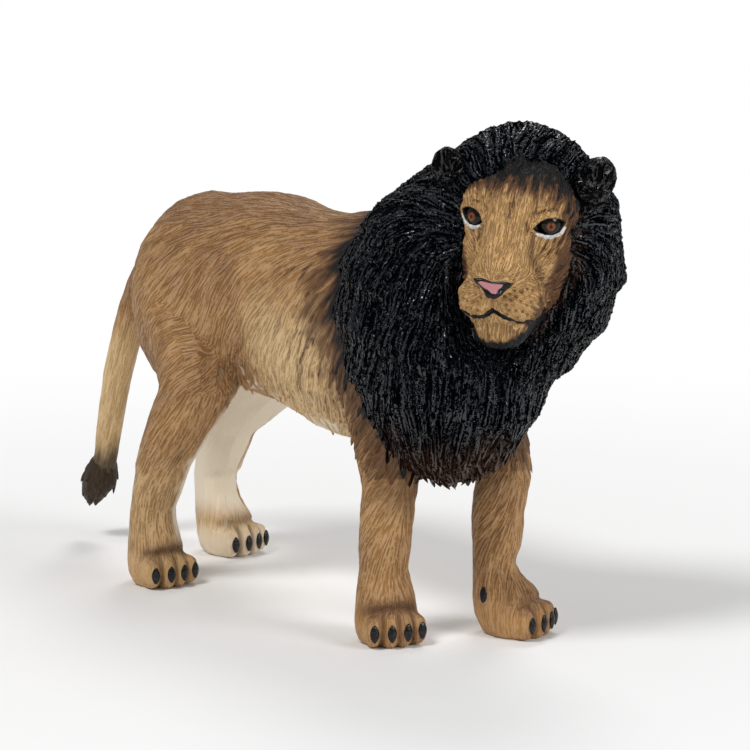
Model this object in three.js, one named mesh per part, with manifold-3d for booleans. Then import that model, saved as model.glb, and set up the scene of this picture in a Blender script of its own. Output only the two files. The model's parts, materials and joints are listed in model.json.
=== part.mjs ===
// Toy lion: a moulded animal figure that stands square, with its head turned to its right.
// It is shaped like clay. Lumps and limbs are blended into forms, a skin is drawn over each form from a
// line inside it, and the skins are cut where two mouldings meet. Pegs hold them together.
// Millimetres, +X towards the chest, +Y to the lion's left, +Z up.
import * as THREE from 'three';
import { mergeVertices } from 'three/addons/utils/BufferGeometryUtils.js';
import Module from 'manifold-3d';

const wasm = await Module();
wasm.setup();

// Driving dimensions
const seam = 0.3; // gap for glue between two mouldings
const crumbWidth = 0.6; // loose bits that a cut leaves, smaller than this each way, fall away
const bodyLength = 100; // rump to chest
const bodyWidth = 34; // across the ribs
const bodyDepth = 42.5; // belly to back
const bellyHeight = 33; // ground to belly
const muscleBlend = 6; // how softly one muscle runs into the next

const frontTrack = 23; // between the two front paws
const hindTrack = 24.5; // between the two hind paws
const frontStride = 7.5; // the left foreleg stands this far ahead of the right one
const hindStride = 16; // the left hind leg stands this far behind the right one
const hindLead = 4; // the right hind leg stands this far ahead of its hip
const frontNarrowing = 3; // the left forepaw stands this much nearer the middle
const hindWidening = 2.5; // the right hind paw stands this much further out
const frontLegThickness = 9.7;
const hindLegThickness = 8.6;

const pawLength = 12.6;
const pawWidth = 11;
const pawHeight = 7.4;
const pawRounding = 3.4;
const toeLength = 6.4;
const toeWidth = 3.6;
const toeHeight = 6;
const clawLength = 3.2;
const clawWidth = 1.8;
const clawThickness = 1.6;

const tailDrop = 44; // root of the tail down to its tuft
const tailReach = 19.2; // how far the tuft hangs behind the root
const tailThickness = 5.8; // halfway down
const tuftLength = 12.4;
const tuftThickness = 7.2;

const headLength = 30; // nape to nose
const headWidth = 21; // across the cheeks
const headHeight = 30; // chin to forehead
const headTurn = THREE.MathUtils.degToRad(-60); // the lion looks to its right
const headNod = THREE.MathUtils.degToRad(6);
const headTilt = THREE.MathUtils.degToRad(-5);
const faceBlend = 2.4;
const lipGap = 1; // how far the mouth is open
const eyeWidth = 5.2;
const eyeHeight = 3.2;
const eyeDepth = 3;
const noseWidth = 7.4;
const noseHeight = 4.2;
const noseThickness = 2.4;
const earWidth = 6.8;
const earHeight = 8.6;
const earDepth = 5.6;
const earHollow = 2.6; // how deep the cup of the ear is
const earBlend = 0.6;

const maneWidth = 42; // across the ruff
const maneHeight = 66; // bib to crown
const maneDepth = 42; // withers to throat
const maneBlend = 9;
const faceEdgeBlend = 1.5; // how softly the mane turns in to the face
const lockRelief = 1.6; // how far the tip of a lock stands out
const lockRows = 6;
const locksAround = 14;

const pegRadius = 2;
const pegLength = 5;
const neckPegRadius = 3;
const neckPegLength = 12;

// Colours
const coatColour = 0xa37c52;
const maneColour = 0x16181b;
const clawColour = 0x101114;
const eyeColour = 0x2a1409;
const noseColour = 0x8d5f62;
const tuftColour = 0x241c19;

const fullTurn = 2 * Math.PI;
const quarterTurn = Math.PI / 2;
const xAxis = new THREE.Vector3(1, 0, 0);
const yAxis = new THREE.Vector3(0, 1, 0);
const zAxis = new THREE.Vector3(0, 0, 1);
const down = new THREE.Vector3(0, 0, -1);
const vec = (x, y, z) => new THREE.Vector3(x, y, z);
const { lerp, clamp, degToRad } = THREE.MathUtils;
const sides = [['right', -1], ['left', 1]];

// Clay. A form is a function that gives the distance from a point to its surface, less than 0 inside.

function lump(centre, radii) {
  const q = new THREE.Vector3();
  return (p) => {
    const near = q.subVectors(p, centre).divide(radii).length();
    const slope = q.divide(radii).length();
    return slope > 0 ? (near * (near - 1)) / slope : -Math.min(radii.x, radii.y, radii.z);
  };
}

// A chain of round joints with the skin taut between them. The slim share is its width to its depth.
function limb(joints, slimShare = 1) {
  const bone = new THREE.Vector3();
  const off = new THREE.Vector3();
  return (p) => {
    let nearest = Infinity;
    for (let i = 1; i < joints.length; i++) {
      const [a, b] = [joints[i - 1], joints[i]];
      bone.subVectors(b.at, a.at);
      off.subVectors(p, a.at);
      const share = clamp(off.dot(bone) / bone.lengthSq(), 0, 1);
      off.addScaledVector(bone, -share);
      off.y /= slimShare;
      nearest = Math.min(nearest, off.length() - lerp(a.radius, b.radius, share));
    }
    return nearest;
  };
}

// An oval cushion that is flat above and below, with rounded edges.
function cushion(centre, halves, rounding) {
  const q = new THREE.Vector3();
  return (p) => {
    q.subVectors(p, centre);
    const rim = (Math.hypot(q.x / halves.x, q.y / halves.y) - 1) * Math.min(halves.x, halves.y) + rounding;
    const top = Math.abs(q.z) - halves.z + rounding;
    return Math.min(Math.max(rim, top), 0) + Math.hypot(Math.max(rim, 0), Math.max(top, 0)) - rounding;
  };
}

const soften = (a, b, softness) => Math.max(softness - Math.abs(a - b), 0) ** 2 / (4 * softness);
const blend = (softness, ...forms) => (p) => (
  forms.map((form) => form(p)).reduce((a, b) => Math.min(a, b) - soften(a, b, softness))
);
const press = (softness, form, tool) => (p) => {
  const [a, b] = [form(p), -tool(p)];
  return Math.max(a, b) + soften(a, b, softness);
};
const grown = (form, by) => (p) => form(p) - by;
const turned = (form, frame) => {
  const inverse = frame.clone().invert();
  const q = new THREE.Vector3();
  return (p) => form(q.copy(p).applyMatrix4(inverse));
};

// How far a ray runs from a point inside the form to where it leaves the form.
function reachOf(form, from, direction, limit) {
  const strides = 60;
  const halvings = 18;
  const p = new THREE.Vector3();
  const outsideAt = (r) => form(p.copy(from).addScaledVector(direction, r)) > 0;
  let [near, far] = [0, limit];
  for (let i = 1; i < strides; i++) {
    const r = (limit * i) / strides;
    if (outsideAt(r)) {
      far = r;
      break;
    }
    near = r;
  }
  for (let i = 0; i < halvings; i++) {
    const middle = (near + far) / 2;
    if (outsideAt(middle)) far = middle;
    else near = middle;
  }
  return (near + far) / 2;
}

// Stations along a line: where a ring of skin points has its middle, and which way the ring faces.
const stationsOn = (curve, count) => Array.from({ length: count + 1 }, (_, i) => (
  { at: curve.getPointAt(i / count), ahead: curve.getTangentAt(i / count) }
));

// The skin of a form: a ring of points round each station, and rings that close round each end.
function skin(form, stations, { capRings, around, across, limit, relief = () => 0 }) {
  const rings = [];
  const [first, last] = [stations[0], stations[stations.length - 1]];
  for (let i = 0; i < capRings; i++) rings.push({ ...first, lean: (i / capRings - 1) * quarterTurn });
  stations.forEach((station) => rings.push({ ...station, lean: 0 }));
  for (let i = 1; i <= capRings; i++) rings.push({ ...last, lean: (i / capRings) * quarterTurn });
  const points = rings.flatMap(({ at, ahead, lean }, i) => {
    const side = across.clone().addScaledVector(ahead, -across.dot(ahead)).normalize();
    const rise = new THREE.Vector3().crossVectors(ahead, side);
    return Array.from({ length: around }, (_, j) => {
      const angle = (fullTurn * j) / around;
      const direction = side.clone().multiplyScalar(Math.cos(angle)).addScaledVector(rise, Math.sin(angle));
      direction.multiplyScalar(Math.cos(lean)).addScaledVector(ahead, Math.sin(lean));
      const raised = relief(i / (rings.length - 1), angle) * Math.cos(lean);
      return at.clone().addScaledVector(direction, reachOf(form, at, direction, limit) + raised);
    });
  });
  const faces = [];
  for (let i = 0; i + 1 < rings.length; i++) {
    for (let j = 0; j < around; j++) {
      const next = (j + 1) % around;
      const [a, b] = [i * around + j, i * around + next];
      const [c, d] = [b + around, a + around];
      if (i > 0) faces.push(a, b, c);
      if (i + 2 < rings.length) faces.push(a, c, d);
    }
  }
  return solid(new THREE.BufferGeometry().setFromPoints(points).setIndex(faces));
}

// A closed geometry as a solid that can be cut and joined.
function solid(geometry) {
  const bare = geometry.clone();
  bare.deleteAttribute('normal');
  bare.deleteAttribute('uv');
  const merged = mergeVertices(bare);
  const corners = [];
  const { array } = merged.index;
  for (let i = 0; i < array.length; i += 3) {
    const [a, b, c] = array.slice(i, i + 3);
    if (a !== b && b !== c && c !== a) corners.push(a, b, c);
  }
  const vertProperties = new Float32Array(merged.attributes.position.array);
  const triVerts = new Uint32Array(corners);
  return new wasm.Manifold(new wasm.Mesh({ numProp: 3, vertProperties, triVerts }));
}

const clean = (shape) => (
  shape.decompose().filter((bit) => bit.volume() > crumbWidth ** 3).reduce((a, b) => a.add(b))
);

// An egg with the given radii, turned and placed by a frame.
const egg = (radii, [around, high], frame = new THREE.Matrix4()) => {
  const ball = new THREE.SphereGeometry(1, around, high);
  return solid(ball.scale(radii.x, radii.y, radii.z).applyMatrix4(frame));
};

const frameOf = (at, ...turns) => {
  const quaternion = new THREE.Quaternion();
  turns.forEach(([axis, angle]) => {
    quaternion.multiply(new THREE.Quaternion().setFromAxisAngle(axis, angle));
  });
  return new THREE.Matrix4().compose(at, quaternion, vec(1, 1, 1));
};

// A round peg that starts at a point and runs towards another, with the edge of its tip taken off.
function peg(from, towards, radius, length) {
  const chamfer = radius / 4;
  const profile = [[0, 0], [radius, 0], [radius, length - chamfer], [radius - chamfer, length], [0, length]]
    .map(([r, h]) => new THREE.Vector2(r, h));
  const shape = new THREE.LatheGeometry(profile, 14);
  const turn = new THREE.Quaternion().setFromUnitVectors(yAxis, towards.clone().sub(from).normalize());
  return solid(shape.applyMatrix4(new THREE.Matrix4().compose(from, turn, vec(1, 1, 1))));
}

const finish = (colour, roughness) => () => (
  new THREE.MeshStandardMaterial({ color: colour, roughness, metalness: 0 })
);
const coat = finish(coatColour, 0.6);
const hair = finish(maneColour, 0.4);
const horn = finish(clawColour, 0.25);
const eyeball = finish(eyeColour, 0.15);
const leather = finish(noseColour, 0.35);
const tuftHair = finish(tuftColour, 0.5);

function mesh(name, shape, material) {
  const { vertProperties, triVerts } = shape.getMesh();
  const geometry = new THREE.BufferGeometry();
  geometry.setAttribute('position', new THREE.BufferAttribute(new Float32Array(vertProperties), 3));
  geometry.setIndex(new THREE.BufferAttribute(new Uint32Array(triVerts), 1));
  geometry.computeVertexNormals();
  const piece = new THREE.Mesh(geometry, material());
  piece.name = name;
  return piece;
}

const figure = new THREE.Group();
const body = new THREE.Group();
figure.add(body);

// A place on the body, in shares of its length, width and depth.
const onBody = (x, y, z) => vec(x * bodyLength, y * bodyWidth, bellyHeight + z * bodyDepth);
const bodySize = (x, y, z) => vec(x * bodyLength, y * bodyWidth, z * bodyDepth);

// Torso
const torsoLumpShares = [
  // centre, then radii
  [0.06, 0, 0.47, 0.31, 0.46, 0.49], // ribs
  [-0.23, 0, 0.55, 0.27, 0.42, 0.455], // loin
  [-0.425, 0, 0.6, 0.14, 0.34, 0.365], // rump
  [0.22, 0, 0.36, 0.14, 0.38, 0.42], // chest
  [0.14, 0, 0.745, 0.14, 0.22, 0.22], // withers
  [-0.395, 0.24, 0.45, 0.135, 0.2, 0.38], // left haunch
  [-0.395, -0.24, 0.45, 0.135, 0.2, 0.38], // right haunch
];
// The neck's radius is a share of the body's depth.
const neckShares = [[0.2, 0, 0.68, 0.28], [0.33, 0, 0.82, 0.22]];
const torsoForm = blend(
  muscleBlend,
  ...torsoLumpShares.map(([x, y, z, ...radii]) => lump(onBody(x, y, z), bodySize(...radii))),
  limb(neckShares.map(([x, y, z, r]) => ({ at: onBody(x, y, z), radius: r * bodyDepth }))),
);
const torsoLine = new THREE.LineCurve3(onBody(-0.42, 0, 0.58), onBody(0.24, 0, 0.56));
const torsoSkin = (gap) => skin(grown(torsoForm, gap), stationsOn(torsoLine, 10), {
  capRings: 5, around: 24, across: yAxis, limit: bodyLength / 2,
});

// Legs. A joint's shares are: ahead of the paw, out from the middle, height, radius and part of the stride.
const forelegKind = {
  x: 0.23 * bodyLength,
  track: frontTrack,
  thickness: frontLegThickness,
  slimShare: 0.92,
  clawCount: 5,
  splitShare: 0.92, // height of the flat joint, a share of the belly's height
  jointShares: [
    [-0.04, 0.84, 1.5, 0.9, 0.3],
    [0, 0.96, 1.1, 0.66, 0.7],
    [0.012, 1, 0.91, 0.55, 1],
    [-0.004, 1, 0.6, 0.49, 1],
    [-0.008, 1, 0.42, 0.47, 1],
    [-0.003, 1, 0.28, 0.5, 1],
    [0, 1, 0.17, 0.48, 1],
  ],
};
const hindLegKind = {
  x: -0.46 * bodyLength,
  track: hindTrack,
  thickness: hindLegThickness,
  slimShare: 0.86,
  clawCount: 4,
  splitShare: 1.1,
  jointShares: [
    [0.065, 0.72, 1.58, 1, 0],
    [0.155, 0.94, 1.22, 0.88, 0.35],
    [0.088, 1, 0.97, 0.74, 0.9],
    [0.027, 1, 0.68, 0.61, 1],
    [0, 1, 0.4, 0.54, 0.95],
    [0.002, 1, 0.18, 0.52, 0.85],
  ],
};
const stances = [
  {
    name: 'right_foreleg',
    kind: forelegKind,
    out: -1,
    stride: 0,
    spread: 0,
    leadShare: 0.02,
    splay: degToRad(-20),
  },
  {
    name: 'left_foreleg',
    kind: forelegKind,
    out: 1,
    stride: frontStride,
    spread: -frontNarrowing,
    leadShare: 0.27,
    splay: degToRad(20),
  },
  {
    name: 'right_hind_leg',
    kind: hindLegKind,
    out: -1,
    stride: hindLead,
    spread: hindWidening,
    leadShare: 0.16,
    splay: degToRad(-3),
  },
  {
    name: 'left_hind_leg',
    kind: hindLegKind,
    out: 1,
    stride: hindLead - hindStride,
    spread: 0,
    leadShare: 0.22,
    splay: degToRad(10),
  },
];
const pawTurns = 4; // rings where the skin turns from the leg into the paw

function leg({ name, kind, out, stride, spread, leadShare, splay }) {
  const { x, track, thickness, slimShare, clawCount, splitShare, jointShares } = kind;
  const joints = jointShares.map(([ahead, outShare, height, radius, strideShare]) => ({
    at: vec(
      x + ahead * bodyLength + strideShare * stride,
      out * ((outShare * track) / 2 + strideShare * spread),
      height * bellyHeight,
    ),
    radius: radius * thickness,
  }));
  const ankle = joints[joints.length - 1].at;
  const forward = vec(Math.cos(splay), Math.sin(splay), 0);
  const leftward = vec(-Math.sin(splay), Math.cos(splay), 0);
  const pawAt = vec(ankle.x, ankle.y, 0).addScaledVector(forward, leadShare * pawLength);
  const paw = frameOf(pawAt, [zAxis, splay]);
  const pawSize = (along, over, up) => vec(along * pawLength, over * pawWidth, up * pawHeight);
  const onPaw = (...shares) => pawSize(...shares).applyMatrix4(paw);
  const pad = turned(cushion(pawSize(0, 0, 0.42), pawSize(0.5, 0.5, 0.58), pawRounding), paw);
  const form = blend(muscleBlend / 2, limb(joints, slimShare), pad);
  const line = new THREE.CatmullRomCurve3(joints.map(({ at }) => at));
  const stations = stationsOn(line, 6).map(({ at }) => ({ at, ahead: down }));
  for (let i = 1; i <= pawTurns; i++) {
    const share = i / pawTurns;
    const ahead = down.clone().applyAxisAngle(leftward, -share * quarterTurn);
    stations.push({ at: ankle.clone().lerp(onPaw(0.06, 0, 0.5), share), ahead });
  }
  const lattice = { capRings: 3, around: 15, across: leftward, limit: 3 * thickness };
  const splitHeight = splitShare * bellyHeight;
  const split = joints.findIndex(({ at }) => at.z < splitHeight);
  const [upper, lower] = [joints[split - 1].at, joints[split].at];
  const seat = upper.clone().lerp(lower, (upper.z - splitHeight) / (upper.z - lower.z));
  const pegFoot = seat.clone().addScaledVector(down, pegLength);

  const toes = [-1.5, -0.5, 0.5, 1.5].map((place) => {
    const reachShare = 0.29 - 0.03 * place * place;
    const turn = -0.14 * place;
    return { at: onPaw(reachShare, place * 0.235, 0.4), turn };
  });
  const toeSolids = toes.map(({ at, turn }) => (
    egg(vec(toeLength / 2, toeWidth / 2, toeHeight / 2), [8, 6], frameOf(at, [zAxis, splay - turn]))
  ));
  const whole = skin(form, stations, lattice);
  let lowerLeg = toeSolids.reduce((a, b) => a.add(b), whole)
    .trimByPlane([0, 0, -1], -(splitHeight - seam / 2))
    .trimByPlane([0, 0, 1], 0)
    .add(peg(pegFoot, seat, pegRadius, 2 * pegLength));

  const clawRadii = vec(clawThickness / 2, clawWidth / 2, clawLength / 2);
  const clawFrames = toes.map(({ at, turn }) => {
    const tip = vec(Math.cos(splay - turn), Math.sin(splay - turn), 0);
    const clawAt = at.clone().addScaledVector(tip, toeLength / 2 - clawThickness / 4);
    return frameOf(clawAt, [zAxis, splay - turn]);
  });
  if (clawCount > clawFrames.length) {
    const inward = vec(0.25, -out, 0).normalize();
    const wrist = ankle.clone().addScaledVector(zAxis, 0.2 * thickness);
    const onSkin = reachOf(form, wrist, inward, 2 * thickness);
    clawFrames.push(frameOf(wrist.addScaledVector(inward, onSkin), [zAxis, Math.atan2(inward.y, inward.x)]));
  }
  clawFrames.forEach((frame, i) => {
    lowerLeg = lowerLeg.subtract(egg(clawRadii.clone().addScalar(seam), [6, 4], frame));
    const piece = mesh(`${name}_claw_${i + 1}`, egg(clawRadii, [6, 4]), horn);
    piece.applyMatrix4(frame);
    body.add(piece);
  });
  body.add(mesh(name, lowerLeg, coat));
  return {
    stub: whole.trimByPlane([0, 0, 1], splitHeight + seam / 2),
    socket: peg(pegFoot, seat, pegRadius + seam, 2 * pegLength + seam),
    room: skin(grown(form, seam), stations, lattice),
  };
}
const legs = stances.map(leg);

// Head, in a frame of its own: its length runs along X from the nape to the nose.
const headGroup = new THREE.Group();
headGroup.position.copy(onBody(0.456, 0.01, 0.95));
headGroup.rotation.set(headTilt, headNod, headTurn, 'ZYX');
headGroup.updateMatrix();
body.add(headGroup);
const inHead = (x, y, z) => vec(x * headLength, y * headWidth, z * headHeight);
const headLumpShares = [
  [-0.02, 0, 0.1, 0.37, 0.5, 0.42], // skull
  [0.14, 0, 0.24, 0.16, 0.34, 0.19], // forehead
  [0.1, 0.27, -0.07, 0.2, 0.19, 0.27], // cheeks
  [0.1, -0.27, -0.07, 0.2, 0.19, 0.27],
  [0.34, 0, -0.22, 0.24, 0.32, 0.19], // muzzle
  [0.44, 0.16, -0.275, 0.13, 0.18, 0.12], // whisker pads
  [0.44, -0.16, -0.275, 0.13, 0.18, 0.12],
  [0.2, 0, -0.37, 0.25, 0.26, 0.15], // jaw
  [0.37, 0, -0.465, 0.14, 0.22, 0.105], // chin
];
const bridgeShares = [[0.19, 0, 0.2, 0.26], [0.45, 0, -0.1, 0.2]];
const browShares = [[0.21, 0.14, 0.215, 0.12], [0.17, 0.38, 0.235, 0.12]];
const chain = (rows, out = 1) => limb(rows.map(([x, y, z, r]) => (
  { at: inHead(x, out * y, z), radius: r * headWidth }
)));
const lumpInHead = ([x, y, z, ...radii]) => lump(inHead(x, y, z), inHead(...radii));
const headForm = blend(
  faceBlend,
  ...headLumpShares.map(lumpInHead),
  chain(bridgeShares),
  chain(browShares),
  chain(browShares, -1),
);
const headLine = new THREE.LineCurve3(inHead(-0.05, 0, 0.06), inHead(0.28, 0, -0.17));
const headSkin = (form) => skin(form, stationsOn(headLine, 8), {
  capRings: 7, around: 28, across: yAxis, limit: headLength,
});
const onFace = (y, z) => {
  const from = inHead(0.05, y, z);
  return from.addScaledVector(xAxis, reachOf(headForm, from, xAxis, headLength));
};

const lipRadii = vec(0.15 * headLength, 0.33 * headWidth, lipGap / 2);
const lips = egg(lipRadii, [14, 6], frameOf(inHead(0.57, 0, -0.375)));
let head = headSkin(headForm).subtract(lips);
sides.forEach(([side, out]) => {
  const radii = vec(eyeDepth / 2, eyeWidth / 2, eyeHeight / 2);
  const frame = frameOf(onFace(out * 0.335, 0.145), [zAxis, out * 0.5], [yAxis, 0.12], [xAxis, out * 0.16]);
  frame.multiply(new THREE.Matrix4().makeTranslation(-eyeDepth / 3, 0, 0));
  head = head.subtract(egg(radii.clone().addScalar(seam), [10, 6], frame));
  const piece = mesh(`${side}_eye`, egg(radii, [10, 6]), eyeball);
  piece.applyMatrix4(frame);
  headGroup.add(piece);
});

function noseSolid(gap) {
  const [w, h] = [noseWidth / 2 + gap, noseHeight / 2 + gap];
  const outline = new THREE.Shape()
    .moveTo(0, h)
    .quadraticCurveTo(w, h, w, 0.5 * h)
    .quadraticCurveTo(0.5 * w, -0.4 * h, 0.3 * w, -h)
    .lineTo(-0.3 * w, -h)
    .quadraticCurveTo(-0.5 * w, -0.4 * h, -w, 0.5 * h)
    .quadraticCurveTo(-w, h, 0, h);
  const depth = noseThickness + 2 * gap;
  const shape = new THREE.ExtrudeGeometry(outline, { depth, bevelEnabled: false, curveSegments: 4 });
  return solid(shape.translate(0, 0, -depth / 2).rotateZ(quarterTurn).rotateY(quarterTurn));
}
const noseFrame = frameOf(onFace(0, -0.145), [yAxis, -0.25]);
noseFrame.multiply(new THREE.Matrix4().makeTranslation(-noseThickness / 4, 0, 0));
const toPose = (shape, frame) => shape.transform(frame.toArray());
head = head.subtract(toPose(noseSolid(seam), noseFrame));
const nosePiece = mesh('nose', noseSolid(0), leather);
nosePiece.applyMatrix4(noseFrame);
headGroup.add(nosePiece);

// Neck peg, from the middle of the head back into the torso.
const neckRoot = onBody(...neckShares[0].slice(0, 3));
const headMiddle = headGroup.position.clone();
const neckPegReach = 0.4 * headLength + neckPegLength;
const neckPeg = (gap) => peg(headMiddle, neckRoot, neckPegRadius + gap, neckPegReach + gap);
const headFrame = headGroup.matrix;
const headRoom = toPose(headSkin(grown(headForm, seam)), headFrame);
head = head.add(toPose(neckPeg(0), headFrame.clone().invert()));
headGroup.add(mesh('head', head, coat));

// Ears, cupped, set into the mane.
const earShares = { right: [0.05, -0.66, 0.34], left: [0.05, 0.58, 0.39] };
const earRooms = sides.map(([side, out]) => {
  const radii = vec(earDepth / 2, earWidth / 2, earHeight / 2);
  const rim = vec(0.55 * earDepth, 0, 0);
  const cup = lump(rim, vec(earHollow + 0.05 * earDepth, 0.36 * earWidth, 0.36 * earHeight));
  const form = press(earBlend, lump(vec(0, 0, 0), radii), cup);
  const [low, high] = [-0.2, 0.2].map((z) => vec(-0.3 * earDepth, 0, z * earHeight));
  const line = new THREE.LineCurve3(low, high);
  const shape = (gap) => skin(grown(form, gap), stationsOn(line, 3), {
    capRings: 3, around: 12, across: yAxis, limit: earHeight,
  });
  const frame = frameOf(inHead(...earShares[side]), [zAxis, out * 0.35], [yAxis, -0.1], [xAxis, -out * 0.4]);
  const piece = mesh(`${side}_ear`, shape(0), hair);
  piece.applyMatrix4(frame);
  headGroup.add(piece);
  return toPose(shape(seam), headFrame.clone().multiply(frame));
});

// Mane: a cape on the shoulders, a bib on the chest and a ruff round the face.
const maneSize = (x, y, z) => vec(x * maneDepth, y * maneWidth, z * maneHeight);
const inMane = (x, y, z) => maneSize(x, y, z).add(headMiddle);
const ruff = turned(blend(
  maneBlend,
  lump(maneSize(-0.17, -0.06, -0.05), maneSize(0.33, 0.385, 0.29)),
  lump(maneSize(-0.14, 0.1, -0.15), maneSize(0.22, 0.19, 0.17)), // left jowl
  lump(maneSize(-0.07, 0.21, -0.03), maneSize(0.18, 0.08, 0.15)), // left cheek
  lump(maneSize(-0.09, -0.2, -0.02), maneSize(0.14, 0.08, 0.15)), // right cheek
  lump(maneSize(-0.08, -0.06, 0.145), maneSize(0.22, 0.22, 0.12)), // forelock
), headFrame);
const faceOpening = turned(lump(inHead(0.42, -0.04, -0.2), inHead(0.38, 0.44, 0.53)), headFrame);
const maneForm = press(faceEdgeBlend, blend(
  maneBlend,
  lump(inMane(-0.47, 0, -0.23), maneSize(0.48, 0.47, 0.38)),
  lump(inMane(-0.28, -0.15, -0.4), maneSize(0.35, 0.32, 0.26)),
  ruff,
), faceOpening);
const maneLine = new THREE.LineCurve3(inMane(-0.35, -0.02, -0.44), inMane(-0.2, 0.04, 0.04));
function locks(climb, angle) {
  const row = climb * lockRows;
  const stagger = (Math.floor(row) % 2) * quarterTurn;
  const tip = 1 - (row - Math.floor(row));
  const crown = Math.abs(Math.cos((angle * locksAround) / 2 + stagger));
  return lockRelief * (tip * crown - 0.5);
}
const maneRooms = [torsoSkin(seam), headRoom, ...earRooms, ...legs.map(({ room }) => room)];
const maneSolid = maneRooms.reduce((a, b) => a.subtract(b), skin(maneForm, stationsOn(maneLine, 15), {
  capRings: 5, around: 36, across: yAxis, limit: maneHeight, relief: locks,
}));
body.add(mesh('mane', clean(maneSolid), hair));

// Tail, a hanging curve with a sleeve of hair at its tip.
const tailRoot = onBody(-0.575, 0, 0.66);
const tailShares = [
  // reach, drop, radius
  [0, 0, 0.66],
  [0.34, 0.16, 0.56],
  [0.6, 0.37, 0.53],
  [0.82, 0.62, 0.5],
  [0.98, 0.88, 0.44],
  [1.07, 1.05, 0.4],
];
const tailJoints = tailShares.map(([reach, drop, radius]) => ({
  at: vec(tailRoot.x - reach * tailReach, tailRoot.y, tailRoot.z - drop * tailDrop),
  radius: radius * tailThickness,
}));
const tailLine = new THREE.CatmullRomCurve3(tailJoints.map(({ at }) => at));
const tailForm = limb(tailJoints);
const tailSkin = (gap) => skin(grown(tailForm, gap), stationsOn(tailLine, 10), {
  capRings: 3, around: 10, across: yAxis, limit: 2 * tailThickness,
});
const rumpMiddle = onBody(...torsoLumpShares[2].slice(0, 3));
const tailPeg = (gap) => peg(tailRoot, rumpMiddle, pegRadius + gap, 2 * pegLength + gap);
body.add(mesh('tail', tailSkin(0).subtract(torsoSkin(seam)).add(tailPeg(0)), coat));

const tailEnd = tailJoints[tailJoints.length - 1].at;
const tuftShares = [[0.05, 0.2, 0.34], [-0.1, -0.15, 0.5], [-0.3, -0.4, 0.36], [-0.42, -0.5, 0.16]];
const tuftJoints = tuftShares.map(([reach, rise, radius]) => ({
  at: tailEnd.clone().add(vec(reach * tuftLength, 0, rise * tuftLength)),
  radius: radius * tuftThickness,
}));
const tuftLine = new THREE.CatmullRomCurve3(tuftJoints.map(({ at }) => at));
const tuftSolid = skin(limb(tuftJoints), stationsOn(tuftLine, 6), {
  capRings: 3, around: 12, across: yAxis, limit: tuftLength,
});
body.add(mesh('tail_tuft', tuftSolid.subtract(tailSkin(seam)), tuftHair));

// The torso takes the legs' upper ends, and has sockets for their pegs, the neck's and the tail's.
const torso = legs.reduce((a, { stub }) => a.add(stub), torsoSkin(0));
const torsoCuts = [headRoom, neckPeg(seam), tailPeg(seam), ...legs.map(({ socket }) => socket)];
body.add(mesh('torso', torsoCuts.reduce((a, b) => a.subtract(b), torso), coat));

// The origin is on the ground, under the middle of the figure.
const box = new THREE.Box3().setFromObject(body, true);
body.position.set(-(box.min.x + box.max.x) / 2, -(box.min.y + box.max.y) / 2, -box.min.z);

export default figure;
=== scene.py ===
import json
import math

import bmesh
import bpy
import numpy as np
from mathutils import Euler, Matrix, Vector
from mathutils.bvhtree import BVHTree

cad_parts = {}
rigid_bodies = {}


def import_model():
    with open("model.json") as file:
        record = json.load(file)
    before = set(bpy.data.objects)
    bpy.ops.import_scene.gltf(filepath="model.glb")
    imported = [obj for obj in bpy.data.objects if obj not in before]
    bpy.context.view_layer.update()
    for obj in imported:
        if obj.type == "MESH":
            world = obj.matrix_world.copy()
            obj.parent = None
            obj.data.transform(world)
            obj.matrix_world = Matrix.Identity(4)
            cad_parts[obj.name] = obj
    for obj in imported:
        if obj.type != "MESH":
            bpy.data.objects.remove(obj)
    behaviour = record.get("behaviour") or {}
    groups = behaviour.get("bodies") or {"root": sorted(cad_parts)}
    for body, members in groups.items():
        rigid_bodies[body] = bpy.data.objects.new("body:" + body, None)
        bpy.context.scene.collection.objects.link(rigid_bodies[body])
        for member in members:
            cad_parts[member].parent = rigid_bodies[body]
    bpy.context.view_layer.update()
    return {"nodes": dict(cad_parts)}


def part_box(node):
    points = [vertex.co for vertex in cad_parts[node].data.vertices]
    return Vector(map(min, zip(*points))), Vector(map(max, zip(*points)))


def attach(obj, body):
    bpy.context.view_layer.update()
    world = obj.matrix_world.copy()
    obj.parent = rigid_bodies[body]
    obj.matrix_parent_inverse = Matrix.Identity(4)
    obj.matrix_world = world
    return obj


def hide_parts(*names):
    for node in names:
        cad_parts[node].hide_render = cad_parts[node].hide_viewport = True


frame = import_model()
mm = 0.001
scene = bpy.context.scene
dice = np.random.default_rng(11)
legNames = ["right_foreleg", "left_foreleg", "right_hind_leg", "left_hind_leg"]
coatNames = ["torso", "tail"] + legNames
clawNames = [name for name in frame["nodes"] if "_claw_" in name]
print("frame loaded:", len(frame["nodes"]), "nodes")


def paint(red, green, blue):
    # a paint colour as it looks, 0 to 255, made linear
    shares = [channel / 255 for channel in (red, green, blue)]
    return tuple(s / 12.92 if s < 0.04 else ((s + 0.055) / 1.055) ** 2.4 for s in shares) + (1,)


# Camera and light

view = {
    "aim": (15.54, 1.97, 44.1),  # mm
    "azimuth": 49.5,  # degrees round from the right side towards the chest
    "elevation": 9.3,
    "distance": 600,  # mm
    "lens": 157.9,  # mm
    "sensor": 36,
    "nearest": 20,  # mm before the lens, where things start to show
}


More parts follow.
